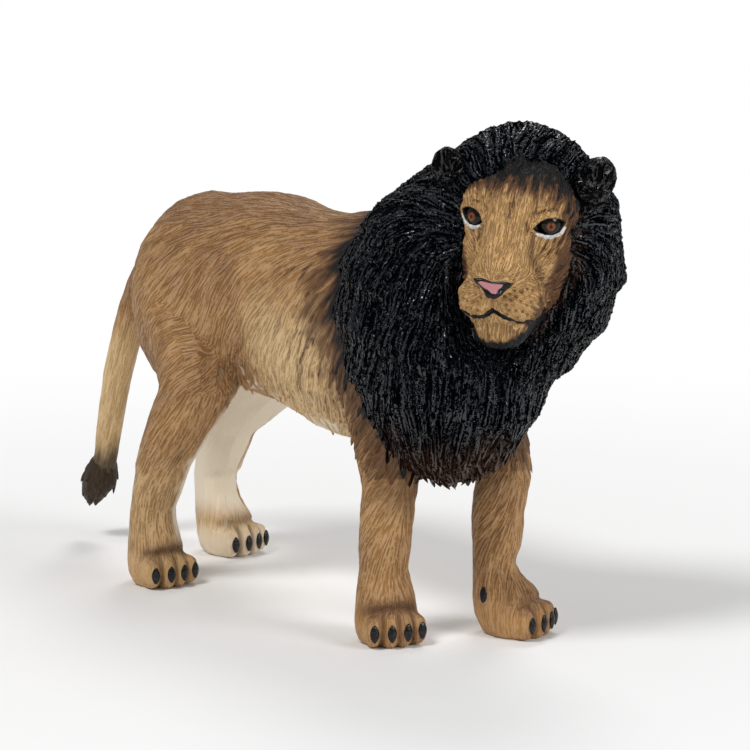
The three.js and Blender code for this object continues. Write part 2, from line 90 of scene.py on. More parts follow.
def placeCamera():
    turn = math.radians(view["azimuth"])
    rise = math.radians(view["elevation"])
    back = Vector((math.sin(turn) * math.cos(rise), -math.cos(turn) * math.cos(rise), math.sin(rise)))
    aim = Vector(view["aim"]) * mm
    camera = bpy.data.objects.new("camera", bpy.data.cameras.new("camera"))
    camera.data.lens = view["lens"]
    camera.data.sensor_width = view["sensor"]
    camera.data.clip_start = view["nearest"] * mm
    camera.location = aim + back * view["distance"] * mm
    camera.rotation_euler = back.to_track_quat("Z", "Y").to_euler()
    scene.collection.objects.link(camera)
    scene.camera = camera
    return aim, back


studio = {
    "world": 0.3,  # how strongly the white surroundings light the figure
    "lamps": {  # right, up and back from the aim in m, size in m, watts
        "key": ((-0.7, 1.2, 1.0), 0.5, 14.5),
        "fill": ((1.1, 0.55, 0.9), 0.7, 8.5),
        "rim": ((0.2, 1.3, -0.7), 0.6, 6.0),
    },
    "floorRadius": 4.0,  # m
    "floorTone": (0.9, 0.9, 0.9, 1),
    "floorRoughness": 0.9,
    "floorSpecular": 0.1,
    "floorFade": (0.06, 0.3),  # m from the middle, over which the floor turns plain white
}


def placeStudio(aim, back):
    world = bpy.data.worlds.new("studio")
    scene.world = world
    world.use_nodes = True
    nodes, links = world.node_tree.nodes, world.node_tree.links
    nodes["Background"].inputs["Color"].default_value = (1, 1, 1, 1)
    seen = nodes.new("ShaderNodeLightPath").outputs["Is Camera Ray"]
    glow = worked(nodes, links, "MULTIPLY_ADD", seen, 1 - studio["world"], studio["world"])
    links.new(glow, nodes["Background"].inputs["Strength"])
    right = Vector((0, 0, 1)).cross(back).normalized()
    up = back.cross(right)
    for name, (place, size, watts) in studio["lamps"].items():
        lamp = bpy.data.objects.new(name, bpy.data.lights.new(name, "AREA"))
        lamp.data.shape = "DISK"
        lamp.data.size = size
        lamp.data.energy = watts
        offset = right * place[0] + up * place[1] + back * place[2]
        lamp.location = aim + offset
        lamp.rotation_euler = offset.to_track_quat("Z", "Y").to_euler()
        scene.collection.objects.link(lamp)
    placeFloor()


def placeFloor():
    bm = bmesh.new()
    bmesh.ops.create_circle(bm, cap_ends=True, segments=64, radius=studio["floorRadius"])
    floor = objectFrom(bm, "floor")
    material = bpy.data.materials.new("pale floor")
    material.use_nodes = True
    nodes, links = material.node_tree.nodes, material.node_tree.links
    shader = nodes["Principled BSDF"]
    shader.inputs["Base Color"].default_value = studio["floorTone"]
    shader.inputs["Roughness"].default_value = studio["floorRoughness"]
    shader.inputs["Specular IOR Level"].default_value = studio["floorSpecular"]
    place = nodes.new("ShaderNodeTexCoord")
    reach = nodes.new("ShaderNodeVectorMath")
    reach.operation = "LENGTH"
    links.new(place.outputs["Object"], reach.inputs[0])
    far = mapped(nodes, links, reach.outputs["Value"], *studio["floorFade"], 0, 1)
    seen = nodes.new("ShaderNodeLightPath").outputs["Is Camera Ray"]
    white = nodes.new("ShaderNodeEmission")
    blend = nodes.new("ShaderNodeMixShader")
    links.new(worked(nodes, links, "MULTIPLY", far, seen), blend.inputs[0])
    links.new(shader.outputs[0], blend.inputs[1])
    links.new(white.outputs[0], blend.inputs[2])
    links.new(blend.outputs[0], nodes["Material Output"].inputs["Surface"])
    floor.data.materials.append(material)


# Shared mesh work

weldDistance = 0.002  # mm, between points that are one
outOfReach = 99.0  # mm, for a gap that counts for nothing


def objectFrom(bm, name):
    mesh = bpy.data.meshes.new(name)
    bm.to_mesh(mesh)
    bm.free()
    piece = bpy.data.objects.new(name, mesh)
    scene.collection.objects.link(piece)
    return piece


def copyOf(name, nodes):
    # one loose object from copies of the frame's nodes, with their triangles joined up
    bm = bmesh.new()
    for node in nodes:
        bm.from_mesh(frame["nodes"][node].data)
    bmesh.ops.remove_doubles(bm, verts=bm.verts, dist=weldDistance * mm)
    return objectFrom(bm, name)


def bake(piece, *steps):
    # applies modifiers in turn
    for kind, settings in steps:
        modifier = piece.modifiers.new(kind.lower(), kind)
        for key, value in settings.items():
            setattr(modifier, key, value)
    depsgraph = bpy.context.evaluated_depsgraph_get()
    mesh = bpy.data.meshes.new_from_object(piece.evaluated_get(depsgraph))
    piece.modifiers.clear()
    piece.data = mesh
    return piece


def swell(amount):
    return "DISPLACE", {"strength": amount * mm, "mid_level": 0}


def clayed(size):
    return "REMESH", {"mode": "VOXEL", "voxel_size": size * mm}


def smoothed(times, group=""):
    return "SMOOTH", {"factor": 0.5, "iterations": times, "vertex_group": group}


def divided(levels):
    return "SUBSURF", {"levels": levels, "render_levels": levels}


def pointsOf(piece):
    # in mm
    flat = np.empty(len(piece.data.vertices) * 3)
    piece.data.vertices.foreach_get("co", flat)
    return flat.reshape(-1, 3) / mm


def normalsOf(piece):
    flat = np.empty(len(piece.data.vertices) * 3)
    piece.data.vertices.foreach_get("normal", flat)
    return flat.reshape(-1, 3)


def movePoints(piece, points):
    piece.data.vertices.foreach_set("co", (points * mm).ravel())
    piece.data.update()


def keep(piece, name, values):
    # a number or a vector at each point, for the material to read
    kind, field = ("FLOAT_VECTOR", "vector") if values.ndim > 1 else ("FLOAT", "value")
    if name in piece.data.attributes:
        piece.data.attributes.remove(piece.data.attributes[name])
    attribute = piece.data.attributes.new(name, kind, "POINT")
    attribute.data.foreach_set(field, values.astype(np.float32).ravel())


def shadeSmooth(piece):
    piece.data.polygons.foreach_set("use_smooth", np.ones(len(piece.data.polygons), bool))
    piece.data.update()


def finishPiece(piece, material, slot, *nodes):
    shadeSmooth(piece)
    piece.data.materials.clear()
    piece.data.materials.append(material)
    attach(piece, "root")
    if nodes:
        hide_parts(*nodes)
    return piece


def unit(vectors):
    return vectors / np.maximum(np.linalg.norm(vectors, axis=-1, keepdims=True), 1e-9)


def ramp(values, low, high):
    # 0 at low, 1 at high, eased
    share = np.clip((values - low) / (high - low), 0, 1)
    return share * share * (3 - 2 * share)


def combedOver(directions, normals):
    # lays hair directions flat on the surface
    return unit(directions - normals * (directions * normals).sum(axis=1, keepdims=True))


grainCount = 48  # random numbers along each side of their block
grains = dice.random((grainCount, grainCount, grainCount))
streakSteps = 9  # samples along a stroke


def blobs(points, size):
    # a smooth random field, 0 to 1, with blobs of a given size in mm
    grid = points / size
    corner = np.floor(grid).astype(int)
    part = grid - corner
    part = part * part * (3 - 2 * part)
    total = np.zeros(len(points))
    for step in np.ndindex(2, 2, 2):
        weight = np.prod(np.where(step, part, 1 - part), axis=1)
        x, y, z = ((corner + step) % grainCount).T
        total += weight * grains[x, y, z]
    return total


def streaks(points, directions, width, length):
    # the random field drawn out along the hair, with a mean of 0 and a spread of 1
    total = np.zeros(len(points))
    for share in np.linspace(-0.5, 0.5, streakSteps):
        total += blobs(points + directions * (share * length), width)
    return (total - total.mean()) / total.std()


def lineGap(line, y, z):
    # the distance to a chain of straight lines
    here = np.column_stack([y, z])
    nearest = np.full(len(y), outOfReach)
    for start, end in zip(np.array(line[:-1]), np.array(line[1:])):
        along = end - start
        share = np.clip((here - start) @ along / (along @ along), 0, 1)
        nearest = np.minimum(nearest, np.linalg.norm(here - start - share[:, None] * along, axis=1))
    return nearest


def outlineGap(outline, y, z):
    # the distance to a closed outline, below 0 inside it
    gap = lineGap(outline + outline[:1], y, z)
    inside = np.zeros(len(y), bool)
    for (y0, z0), (y1, z1) in zip(outline, outline[1:] + outline[:1]):
        crosses = (z0 > z) != (z1 > z)
        inside ^= crosses & (y < (y1 - y0) * (z - z0) / (z1 - z0 + 1e-9) + y0)
    return np.where(inside, -gap, gap)


def bump(gap, width):
    # 1 where the gap is 0, fading over the width on both sides
    return np.exp(-(gap / width) ** 2)


# Shared shader groups

def worked(nodes, links, operation, *values):
    # a sum of numbers and of other nodes' outputs
    node = nodes.new("ShaderNodeMath")
    node.operation = operation
    for socket, value in zip(node.inputs, values):
        if isinstance(value, (float, int)):
            socket.default_value = value
        else:
            links.new(value, socket)
    return node.outputs[0]


def mapped(nodes, links, value, *limits):
    # an eased step from one range to another
    node = nodes.new("ShaderNodeMapRange")
    node.interpolation_type = "SMOOTHSTEP"
    for name, limit in zip(("From Min", "From Max", "To Min", "To Max"), limits):
        node.inputs[name].default_value = limit
    links.new(value, node.inputs["Value"])
    return node.outputs["Result"]


combedSamples = 15  # along a stroke


def makeCombedGroup():
    # strokes of hair: noise drawn out along a direction that lies on the surface
    group = bpy.data.node_groups.new("combed hair", "ShaderNodeTree")
    sockets = group.interface
    sockets.new_socket("Direction", in_out="INPUT", socket_type="NodeSocketVector")
    for name, value in (("Width", 0.0005), ("Length", 0.003), ("Contrast", 0.1)):
        socket = sockets.new_socket(name, in_out="INPUT", socket_type="NodeSocketFloat")
        socket.default_value = value
    sockets.new_socket("Strokes", in_out="OUTPUT", socket_type="NodeSocketFloat")
    nodes, links = group.nodes, group.links
    given = nodes.new("NodeGroupInput").outputs
    result = nodes.new("NodeGroupOutput")
    place = nodes.new("ShaderNodeTexCoord")
    scale = worked(nodes, links, "DIVIDE", 1, given["Width"])
    total = 0
    for i in range(combedSamples):
        share = i / (combedSamples - 1) - 0.5
        step = nodes.new("ShaderNodeVectorMath")
        step.operation = "SCALE"
        links.new(given["Direction"], step.inputs[0])
        links.new(worked(nodes, links, "MULTIPLY", given["Length"], share), step.inputs["Scale"])
        at = nodes.new("ShaderNodeVectorMath")
        at.operation = "ADD"
        links.new(place.outputs["Object"], at.inputs[0])
        links.new(step.outputs[0], at.inputs[1])
        noise = nodes.new("ShaderNodeTexNoise")
        noise.inputs["Detail"].default_value = 0
        links.new(at.outputs[0], noise.inputs["Vector"])
        links.new(scale, noise.inputs["Scale"])
        total = worked(nodes, links, "ADD", total, noise.outputs["Fac"])
    spread = nodes.new("ShaderNodeMapRange")
    spread.interpolation_type = "SMOOTHSTEP"
    mean = worked(nodes, links, "DIVIDE", total, combedSamples)
    low = worked(nodes, links, "SUBTRACT", 0.5, given["Contrast"])
    high = worked(nodes, links, "ADD", 0.5, given["Contrast"])
    for name, value in (("Value", mean), ("From Min", low), ("From Max", high)):
        links.new(value, spread.inputs[name])
    links.new(spread.outputs["Result"], result.inputs["Strokes"])
    return group


combedGroup = makeCombedGroup()


class Finish:
    # a material with a few short ways to add nodes to it
    def __init__(self, name, roughness, specular):
        self.material = bpy.data.materials.new(name)
        self.material.use_nodes = True
        self.nodes = self.material.node_tree.nodes
        self.links = self.material.node_tree.links
        self.shader = self.nodes["Principled BSDF"]
        self.shader.inputs["Roughness"].default_value = roughness
        self.shader.inputs["Specular IOR Level"].default_value = specular

    def stored(self, name, output="Fac"):
        node = self.nodes.new("ShaderNodeAttribute")
        node.attribute_name = name
        return node.outputs[output]

    def mix(self, share, first, second):
        node = self.nodes.new("ShaderNodeMix")
        node.data_type = "RGBA"
        for key, value in (("Factor", share), (6, first), (7, second)):  # 6 and 7 take colours
            socket = node.inputs[key]
            if isinstance(value, (float, int, tuple)):
                socket.default_value = value
            else:
                self.links.new(value, socket)
        return node.outputs[2]

    def math(self, operation, *values):
        return worked(self.nodes, self.links, operation, *values)

    def map(self, value, fromMin, fromMax, toMin=0, toMax=1):
        return mapped(self.nodes, self.links, value, fromMin, fromMax, toMin, toMax)

    def noise(self, size):
        place = self.nodes.new("ShaderNodeTexCoord")
        node = self.nodes.new("ShaderNodeTexNoise")
        node.inputs["Scale"].default_value = 1 / (size * mm)
        self.links.new(place.outputs["Object"], node.inputs["Vector"])
        return node.outputs["Fac"]

    def combed(self, width, length, contrast):
        node = self.nodes.new("ShaderNodeGroup")
        node.node_tree = combedGroup
        node.inputs["Width"].default_value = width * mm
        node.inputs["Length"].default_value = length * mm
        node.inputs["Contrast"].default_value = contrast
        self.links.new(self.stored("hairLie", "Vector"), node.inputs["Direction"])
        return node.outputs["Strokes"]

    def lift(self, height, depth):
        node = self.nodes.new("ShaderNodeBump")
        node.inputs["Distance"].default_value = depth * mm
        self.links.new(height, node.inputs["Height"])
        self.links.new(node.outputs[0], self.shader.inputs["Normal"])

    def colour(self, socket):
        self.links.new(socket, self.shader.inputs["Base Color"])

    def rough(self, socket):
        self.links.new(socket, self.shader.inputs["Roughness"])

    def shine(self, socket):
        self.links.new(socket, self.shader.inputs["Specular IOR Level"])


# Head frame: x to the nose, y to the lion's left, z up, in mm

headSet = {"turn": -60, "nod": 6, "tilt": -5, "eyeAhead": 7.6, "eyeRise": 4.35}  # degrees and mm


def headFrame():
    turns = Euler([math.radians(headSet[key]) for key in ("tilt", "nod", "turn")], "XYZ").to_matrix()
    eyes = [sum(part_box(f"{side}_eye"), Vector()) / 2 for side in ("right", "left")]
    middle = (eyes[0] + eyes[1]) / 2 / mm
    basis = np.array(turns)
    place = np.array(middle) - basis @ np.array([headSet["eyeAhead"], 0, headSet["eyeRise"]])
    return place, basis


headPlace, headBasis = headFrame()


def inHead(points):
    return (points - headPlace) @ headBasis


def onForehead(points):
    # 1 on the forehead, fading out at the brows and over the crown
    x, y, z = inHead(points).T
    return ramp(z, 2, 9) * ramp(x, -8, 0)


# Claws

clawLook = {
    "black": paint(13, 13, 15),
    "grey": paint(42, 40, 42),
    "size": (0.5, 0.85, 1.62),  # half its thickness, width and height in mm
    "narrowed": 0.25,  # the shares of its width and thickness that its ends lose
    "thinned": 0.3,
    "ahead": 0.26,  # mm, of the middle of its node
    "filled": 0.4,  # mm behind its node, where the toe is closed
    "level": 3,  # mm above and below it, where the middle of its leg is taken
}


def clawPlaces():
    # each claw's middle and the way it faces
    places = {}
    for name in clawNames:
        leg = name.split("_claw_")[0]
        points = np.unique(np.round(pointsOf(frame["nodes"][name]), 3), axis=0)
        middle = (points.min(axis=0) + points.max(axis=0)) / 2
        outward = np.linalg.svd(points - middle)[2][2] * [1, 1, 0]
        legPoints = pointsOf(frame["nodes"][leg])
        level = legPoints[np.abs(legPoints[:, 2] - middle[2]) < clawLook["level"]].mean(axis=0)
        places[name] = middle, unit(outward * np.sign(outward @ (middle - level)))
    return places


claws = clawPlaces()


def makeClaws():
    look = Finish("claw paint", 0.22, 0.35)
    look.colour(look.mix(look.map(look.noise(0.6), 0.45, 0.7), clawLook["black"], clawLook["grey"]))
    look.lift(look.noise(0.5), 0.1)
    for name, (middle, outward) in claws.items():
        upward = np.array([0, 0, 1])
        turn = Matrix(np.column_stack([outward, np.cross(upward, outward), upward])).to_4x4()
        bm = bmesh.new()
        bmesh.ops.create_uvsphere(bm, u_segments=20, v_segments=16, radius=1)
        for v in bm.verts:
            v.co.y *= 1 - clawLook["narrowed"] * abs(v.co.z) ** 1.5
            v.co.x *= 1 - clawLook["thinned"] * abs(v.co.z)
        place = Vector(middle + outward * clawLook["ahead"]) * mm
        size = Matrix.Diagonal(Vector(clawLook["size"]) * mm).to_4x4()
        bmesh.ops.transform(bm, matrix=Matrix.Translation(place) @ turn @ size, verts=bm.verts)
        finishPiece(objectFrom(bm, name + "_paint"), look.material, "claw", name)


# One clay skin over all the mouldings, furred as a whole and then parted at the joints

skinSet = {
    "grain": 0.38,  # mm between points
    "closing": 0.2,  # swells each moulding to close the seams
    "drawnBack": 0.8,  # the share of that which is taken back
    "softening": 5,  # passes
    "edgeSoftening": 150,  # passes that blend the mane into the body and the face
    "edgeWidth": 3.5,  # mm on each side
    "hairlineWidth": 9,
    "wallDepth": 1.2,
}
earNames = ["right_ear", "left_ear"]
seatNames = ["right_eye", "left_eye", "nose"]


def nearestOn(names, points):
    # the nearest of some nodes to each point, and how far away it is, in mm
    corners, faces, owners = [], [], []
    for i, name in enumerate(names):
        mesh = frame["nodes"][name].data
        faces += [[v + len(corners) for v in p.vertices] for p in mesh.polygons]
        corners += [v.co / mm for v in mesh.vertices]
        owners += [i] * len(mesh.polygons)
    tree = BVHTree.FromPolygons(corners, faces)
    hits = [tree.find_nearest(Vector(p)) for p in points]
    return np.array([owners[hit[2]] for hit in hits]), np.array([hit[3] for hit in hits])


class Skin:
    # the skin's mesh, and what is known of each of its points
    def __init__(self):
        self.names = coatNames + ["tail_tuft", "head"] + earNames + seatNames
        self.piece = copyOf("skin", self.names + ["mane"])
        self.fillSeats()
        bake(self.piece, swell(skinSet["closing"]), clayed(skinSet["grain"]), smoothed(skinSet["softening"]))
        bake(self.piece, swell(-skinSet["drawnBack"] * skinSet["closing"]))
        points = pointsOf(self.piece)
        self.part, toOthers = nearestOn(self.names, points)
        self.toMane = nearestOn(["mane"], points)[1]
        self.into = toOthers - self.toMane  # mm inside the mane's edge
        self.part[self.into > 0] = len(self.names)
        self.names.append("mane")
        self.blendEdge()
        self.points, self.normals = pointsOf(self.piece), normalsOf(self.piece)
        self.bare = self.points  # before the hair is raised

    def fillSeats(self):
        # closes the toes behind the claws
        bm = bmesh.new()
        bm.from_mesh(self.piece.data)
        for name, (middle, outward) in claws.items():
            first = len(bm.verts)
            bm.from_mesh(copyOf(name + "_seat", [name]).data)
            bm.verts.ensure_lookup_table()
            shift = Vector(-outward * clawLook["filled"]) * mm
            bmesh.ops.translate(bm, verts=bm.verts[first:], vec=shift)
            bpy.data.objects.remove(bpy.data.objects[name + "_seat"])
        bm.to_mesh(self.piece.data)
        bm.free()

    def blendEdge(self):
        # softens the step between the mane and what is beside it
        wider = (skinSet["hairlineWidth"] - skinSet["edgeWidth"]) * onForehead(pointsOf(self.piece))
        near = ramp(np.abs(self.into), skinSet["edgeWidth"] + wider, 0.4) * ~self.isPart(*earNames)
        group = self.piece.vertex_groups.new(name="edge")
        for i in np.flatnonzero(near > 0.02):
            group.add([int(i)], float(near[i]), "REPLACE")
        bake(self.piece, smoothed(skinSet["edgeSoftening"], "edge"))

    def isPart(self, *names):
        return np.isin(self.part, [self.names.index(name) for name in names])

    def raisePoints(self, rise):
        self.points = self.points + self.normals * rise[:, None]
        movePoints(self.piece, self.points)
        self.normals = normalsOf(self.piece)

    def parted(self, name, *nodes):
        # cuts out the faces of some nodes as a piece of its own, with a wall inwards from each cut
        wanted = self.isPart(*nodes)
        bm = bmesh.new()
        bm.from_mesh(self.piece.data)
        bm.faces.ensure_lookup_table()
        extra = [f for f in bm.faces if not wanted[f.verts[0].index]]
        bmesh.ops.delete(bm, geom=extra, context="FACES")
        inward = {v: v.normal.copy() for v in bm.verts}
        rims = [e for e in bm.edges if e.is_boundary]
        made = bmesh.ops.extrude_edge_only(bm, edges=rims)["geom"]
        for edge in rims:
            edge.smooth = False
        for v in made:
            if isinstance(v, bmesh.types.BMVert):
                old = [e.other_vert(v) for e in v.link_edges if e.other_vert(v) in inward]
                v.co -= inward[old[0]] * skinSet["wallDepth"] * mm
        bmesh.ops.edgeloop_fill(bm, edges=[e for e in bm.edges if e.is_boundary])
        piece = objectFrom(bm, name)
        print("piece", name, len(piece.data.polygons), "faces")
        return piece


# Which way the hair lies

slants = {  # degrees down from straight back, each on top of the first
    "spine": 8,
    "flank": 42,
    "belly": 36,
    "rump": 24,
    "strays": 14,
}


def coatLie(skin):
    # back along the spine, slanting down the flanks, and down and back on the legs
    x, y, z = skin.points.T
    upward = skin.normals[:, 2]
    slant = slants["spine"] + slants["flank"] * ramp(-upward, -0.95, 0.0)
    slant = np.radians(slant + slants["belly"] * ramp(-upward, 0.1, 0.8))
    slant += np.radians(slants["rump"]) * ramp(-x, 12, 45) * ramp(z, 75, 40)
    slant += np.radians(slants["strays"]) * (blobs(skin.points, 14) - 0.5) * 2
    lie = np.column_stack([-np.cos(slant), np.zeros(len(x)), -np.sin(slant)])
    back = -0.85 * ramp(z, 8, 22) + 0.35 * (blobs(skin.points, 10) - 0.5)
    down = np.column_stack([back, 0.3 * (blobs(skin.points, 9) - 0.5), -np.ones(len(x))])
    leg = ramp(z, 44, 30)[:, None]
    lie = unit(lie * (1 - leg) + unit(down) * leg)
    return np.where(skin.isPart("tail", "tail_tuft")[:, None], np.array([[-0.35, 0, -0.94]]), lie)


def maneLie(points):
    # out from the face, then falling
    local = inHead(points)
    out = local * np.array([0.0, 1.0, 1.0])
    out[:, 0] = -0.5 * np.abs(local[:, 1:]).max(axis=1)
    reach = np.linalg.norm(local, axis=1)
    away = unit(out) @ headBasis.T
    fall = ramp(reach, 12, 34) * 0.9 + 0.1
    share = np.clip(fall + ramp(local[:, 2], 2, -12), 0, 1)[:, None]
    return unit(away * (1 - share) + np.array([[-0.12, 0, -1]]) * share)


def faceLie(points):
    # up and out from the nose, and down the chin
    x, y, z = inHead(points).T
    out = np.column_stack([-0.25 * np.ones(len(y)), y * 0.9, z + 4.5 + 0.25 * np.abs(y)])
    chin = ramp(z, -9.5, -12)[:, None]
    return unit(unit(out) * (1 - chin) + np.array([[0, 0, -1]]) * chin) @ headBasis.T


def swung(lie, normals, angles):
    # turned on the surface
    side = np.cross(normals, lie)
    return lie * np.cos(angles)[:, None] + side * np.sin(angles)[:, None]


def layHair(skin):
    # the mane's hair turns into the coat's and the face's over its edge
    mane = ramp(skin.into, -1.5, 1.5)[:, None]
    face = skin.isPart("head", *seatNames)[:, None]
    rest = np.where(face, faceLie(skin.points), coatLie(skin))
    lie = combedOver(unit(rest * (1 - mane) + maneLie(skin.points) * mane), skin.normals)
    wave = np.radians(20) * (blobs(skin.points, 10) - 0.5) * 2
    return swung(lie, skin.normals, wave * mane[:, 0])


# Fur: strokes over the body, strands and locks over the mane

furLook = {
    "strokes": (0.05, 0.8, 4),  # depth, width and length in mm
    "muscles": (0.1, 2.4, 8),
    "strands": (0.1, 0.7, 10),
    "fine": (0.9, 3.5),  # width and length of the strokes at the edges of colours
    "ragged": (0.9, 5),
    "lockSpacing": 2.3,  # mm
    "lockLength": 18,
    "lockWidth": 1.1,
    "lockHeight": 0.7,
    "lockWave": (0.5, 0.45),  # mm to the side, and radians for each mm along
    "lockSunk": 0.75,  # the share of its height that a lock starts below the skin
    "lockTurn": 0.35,  # how far the strands turn with the locks
    "fold": 0.6,  # depth of the flank's fold in mm
    "earSunk": 0.9,  # mm, under the ears' own pieces
}


def spaced(points, spacing):
    # a scatter of points no nearer to each other than the spacing
    taken = []
    free = np.ones(len(points), bool)
    for i in dice.permutation(len(points)):
        if free[i]:
            taken.append(i)
            free &= ((points - points[i]) ** 2).sum(axis=1) > spacing ** 2
    return np.array(taken)


def locksOver(points, normals, lie, seeds):
    # each lock is a long wavy leaf that thickens towards its tip and lies over the roots of the next
    height = np.zeros(len(points))
    turn = np.zeros(len(points))
    byHeight = np.argsort(points[:, 2])
    levels = points[byHeight, 2]
    swing, pace = furLook["lockWave"]
    for i in seeds:
        length = furLook["lockLength"] * dice.uniform(0.75, 1.25)
        halfWidth = furLook["lockWidth"] * dice.uniform(0.7, 1.2)
        tall = furLook["lockHeight"] * dice.uniform(0.7, 1.2)
        phase, bend, lean = dice.uniform(0, 6.3), dice.uniform(-0.012, 0.012), dice.normal(0, 0.09)
        reach = 0.62 * length
        low, high = np.searchsorted(levels, [points[i, 2] - reach, points[i, 2] + reach])
        near = byHeight[low:high]
        near = near[((points[near] - points[i]) ** 2).sum(axis=1) < reach ** 2]
        heading = lie[i] * math.cos(lean) + np.cross(normals[i], lie[i]) * math.sin(lean)
        offset = points[near] - points[i]
        ahead = offset @ heading
        aside = offset @ np.cross(normals[i], heading) - swing * np.sin(ahead * pace + phase)
        aside -= bend * ahead ** 2
        share = ahead / length + 0.45
        width = halfWidth * np.clip(share / 0.3, 0, 1) ** 0.5 * np.clip((1 - share) / 0.6, 0, 1) ** 0.75
        dome = np.sqrt(np.clip(1 - (aside / np.maximum(width, 1e-3)) ** 2, 0, 1))
        dome *= (share > 0) & (share < 1)
        risen = tall * (0.25 + 0.75 * share) * dome ** 0.8
        wins = risen > height[near]
        spots = near[wins]
        height[spots] = risen[wins]
        slope = swing * pace * np.cos(ahead * pace + phase) + 2 * bend * ahead
        turn[spots] = lean + np.arctan(slope)[wins]
    return height, turn


pawLook = {
    "reach": 17,  # mm above the ground, below which a leg is a paw
    "toeSwell": 0.2,  # heights and depths in mm
    "toeGroove": 0.42,
    "grooveShade": 0.75,  # the share of brown painted shade in a groove
    "clawRim": 0.16,
    "crease": 0.4,
    "creaseShade": {"right": 0.85, "left": 0.5},
    "instep": {"right": 0.56, "left": 1.26},
}


def shapePaws(skin):
    # toes with grooves between them, a crease above them and a hollow instep, and their shade
    rise = np.zeros(len(skin.points))
    shade = np.zeros(len(skin.points))
    upward = np.array([0, 0, 1])
    for leg in legNames:
        side = leg.split("_")[0]
        toes = [claws[f"{leg}_claw_{i}"] for i in range(1, 5)]
        near = np.flatnonzero(skin.isPart(leg) & (skin.points[:, 2] < pawLook["reach"]))
        points, normals = skin.points[near], skin.normals[near]
        heading = unit(sum(outward for place, outward in toes))
        offset = points - sum(place for place, outward in toes) / len(toes)
        z = points[:, 2]
        forward, sideways = offset @ heading, offset @ np.cross(upward, heading)
        facing = ramp(normals @ heading, 0.05, 0.6)
        change = np.zeros(len(near))
        # brown holds the painted shade in the toes' grooves and in the crease above them
        brown = np.zeros(len(near))
        for place, outward in toes:
            across = (points - place) @ np.cross(upward, outward)
            change += pawLook["toeSwell"] * bump(across, 1.2)
            ring = np.hypot(across / 1.1, (z - place[2]) / 1.9)
            change += pawLook["clawRim"] * bump(ring - 1.15, 0.22)
        for one, other in zip(toes[:-1], toes[1:]):
            across = (points - (one[0] + other[0]) / 2) @ np.cross(upward, unit(one[1] + other[1]))
            groove = bump(across, 0.5)
            change -= pawLook["toeGroove"] * groove
            shadeInGrooves = pawLook["grooveShade"] * groove * ramp(forward, -4.5, -2) * ramp(z, 7.2, 6)
            brown = np.maximum(brown, shadeInGrooves)
        change *= ramp(forward, -4.5, -1.5) * ramp(z, 7.4, 5.8)
        arch = z - 7.1 + 0.05 * sideways ** 2  # the crease curves over the toes
        change -= pawLook["crease"] * bump(arch, 0.6) * facing
        change -= pawLook["instep"][side] * bump(z - 12, 3) * facing
        rise[near] = change
        shade[near] = np.maximum(brown, pawLook["creaseShade"][side] * bump(arch - 0.4, 1.3) * facing)
    return rise, shade


# x and z in mm, on both flanks
flankFold = [(-10.2, 63.6), (-8.0, 59.6), (-6.2, 55.2), (-5.4, 50.6), (-7.1, 45.2), (-10.1, 42.8)]


def creamOf(skin, fine):
    # cream under the belly, inside the hind legs and on the left hind paw
    x, y, z = skin.bare.T
    outward = skin.normals[:, 1] * np.sign(y)
    outward -= 0.9 * np.maximum(skin.normals[:, 0], 0) * skin.isPart("left_hind_leg")
    under = ramp(0.14 * fine - skin.normals[:, 2], 0.74, 0.95) * ramp(z, 60, 45) * ramp(z, 22, 27)
    inner = ramp(0.06 * fine - outward, 0.05, 0.4) * ramp(-x, 8, 20) * ramp(z, 60, 45) * ramp(z, 6, 12)
    paw = 0.7 * skin.isPart("left_hind_leg") * ramp(z + 0.5 * fine, 8, 3)
    return np.where(skin.isPart("tail", "tail_tuft"), 0, np.maximum(np.maximum(under, inner), paw))


def groomFur(skin):
    # raises the hair, the toes and the flank's fold, and keeps what the paints need
    look = furLook
    lie = layHair(skin)
    showing = np.flatnonzero(skin.into > 0.3)
    seeds = showing[spaced(skin.points[showing], look["lockSpacing"])]
    locks, turn = locksOver(skin.points, skin.normals, lie, seeds)
    lie = swung(lie, skin.normals, look["lockTurn"] * turn * ramp(skin.into, -3, 1))
    kinds = ("strokes", "muscles", "strands")
    strokes, broad, strands = [streaks(skin.points, lie, *look[kind][1:]) for kind in kinds]
    fine = streaks(skin.points, lie, *look["fine"])
    x, y, z = skin.points.T
    cream = creamOf(skin, fine)
    tail = skin.isPart("tail", "tail_tuft")
    face = skin.isPart("head", *seatNames)
    furred = (1 - 0.85 * cream) * (0.3 + 0.7 * ramp(z, 3, 9)) * np.where(tail, 0.6, 1)
    pawRise, pawShade = shapePaws(skin)
    fold = lineGap(flankFold, x, z) + outOfReach * (np.abs(y) < 7)
    rise = look["strokes"][0] * strokes + look["muscles"][0] * broad
    rise = rise * np.where(face, 0.0, furred) + pawRise - look["fold"] * bump(fold, 2.4)
    headX, headY, headZ = inHead(skin.points).T
    mane = ramp(skin.into, -0.5, 1.5)
    # the hair grows on to the head behind an arched hairline
    crown = ramp(headZ - 12.4 + 0.035 * headY ** 2, -0.5, 1.5) * face
    raised = locks - look["lockSunk"] * look["lockHeight"]
    raised *= ramp(skin.into, -0.5, 1.5 + 2.5 * onForehead(skin.points))
    rise = rise * (1 - mane) + look["strands"][0] * strands * np.maximum(mane, crown) + raised
    rise[skin.isPart(*earNames)] = -look["earSunk"]
    skin.raisePoints(rise)
    print("locks", len(seeds))
    skin.lie = combedOver(lie, skin.normals)
    grooves = ramp(-strokes, 0.3, 1.6)
    values = {
        "hairLie": skin.lie,
        "cream": cream,
        "furred": np.maximum(furred, mane),
        "dark": darkOf(skin, broad, fine, fold),
        "pale": paleOf(skin),
        # deep: painted shade in the grooves between strokes, stronger near the mane
        "deep": grooves * (0.2 + 0.6 * ramp(skin.toMane, 22, 8) * ramp(z, 38, 50)),
        "crest": ramp(locks, 0.1 * look["lockHeight"], 0.8 * look["lockHeight"]),
    }
    values |= blacksOf(skin, lie, mane, pawShade)
    for name, value in values.items():
        keep(skin.piece, name, value)


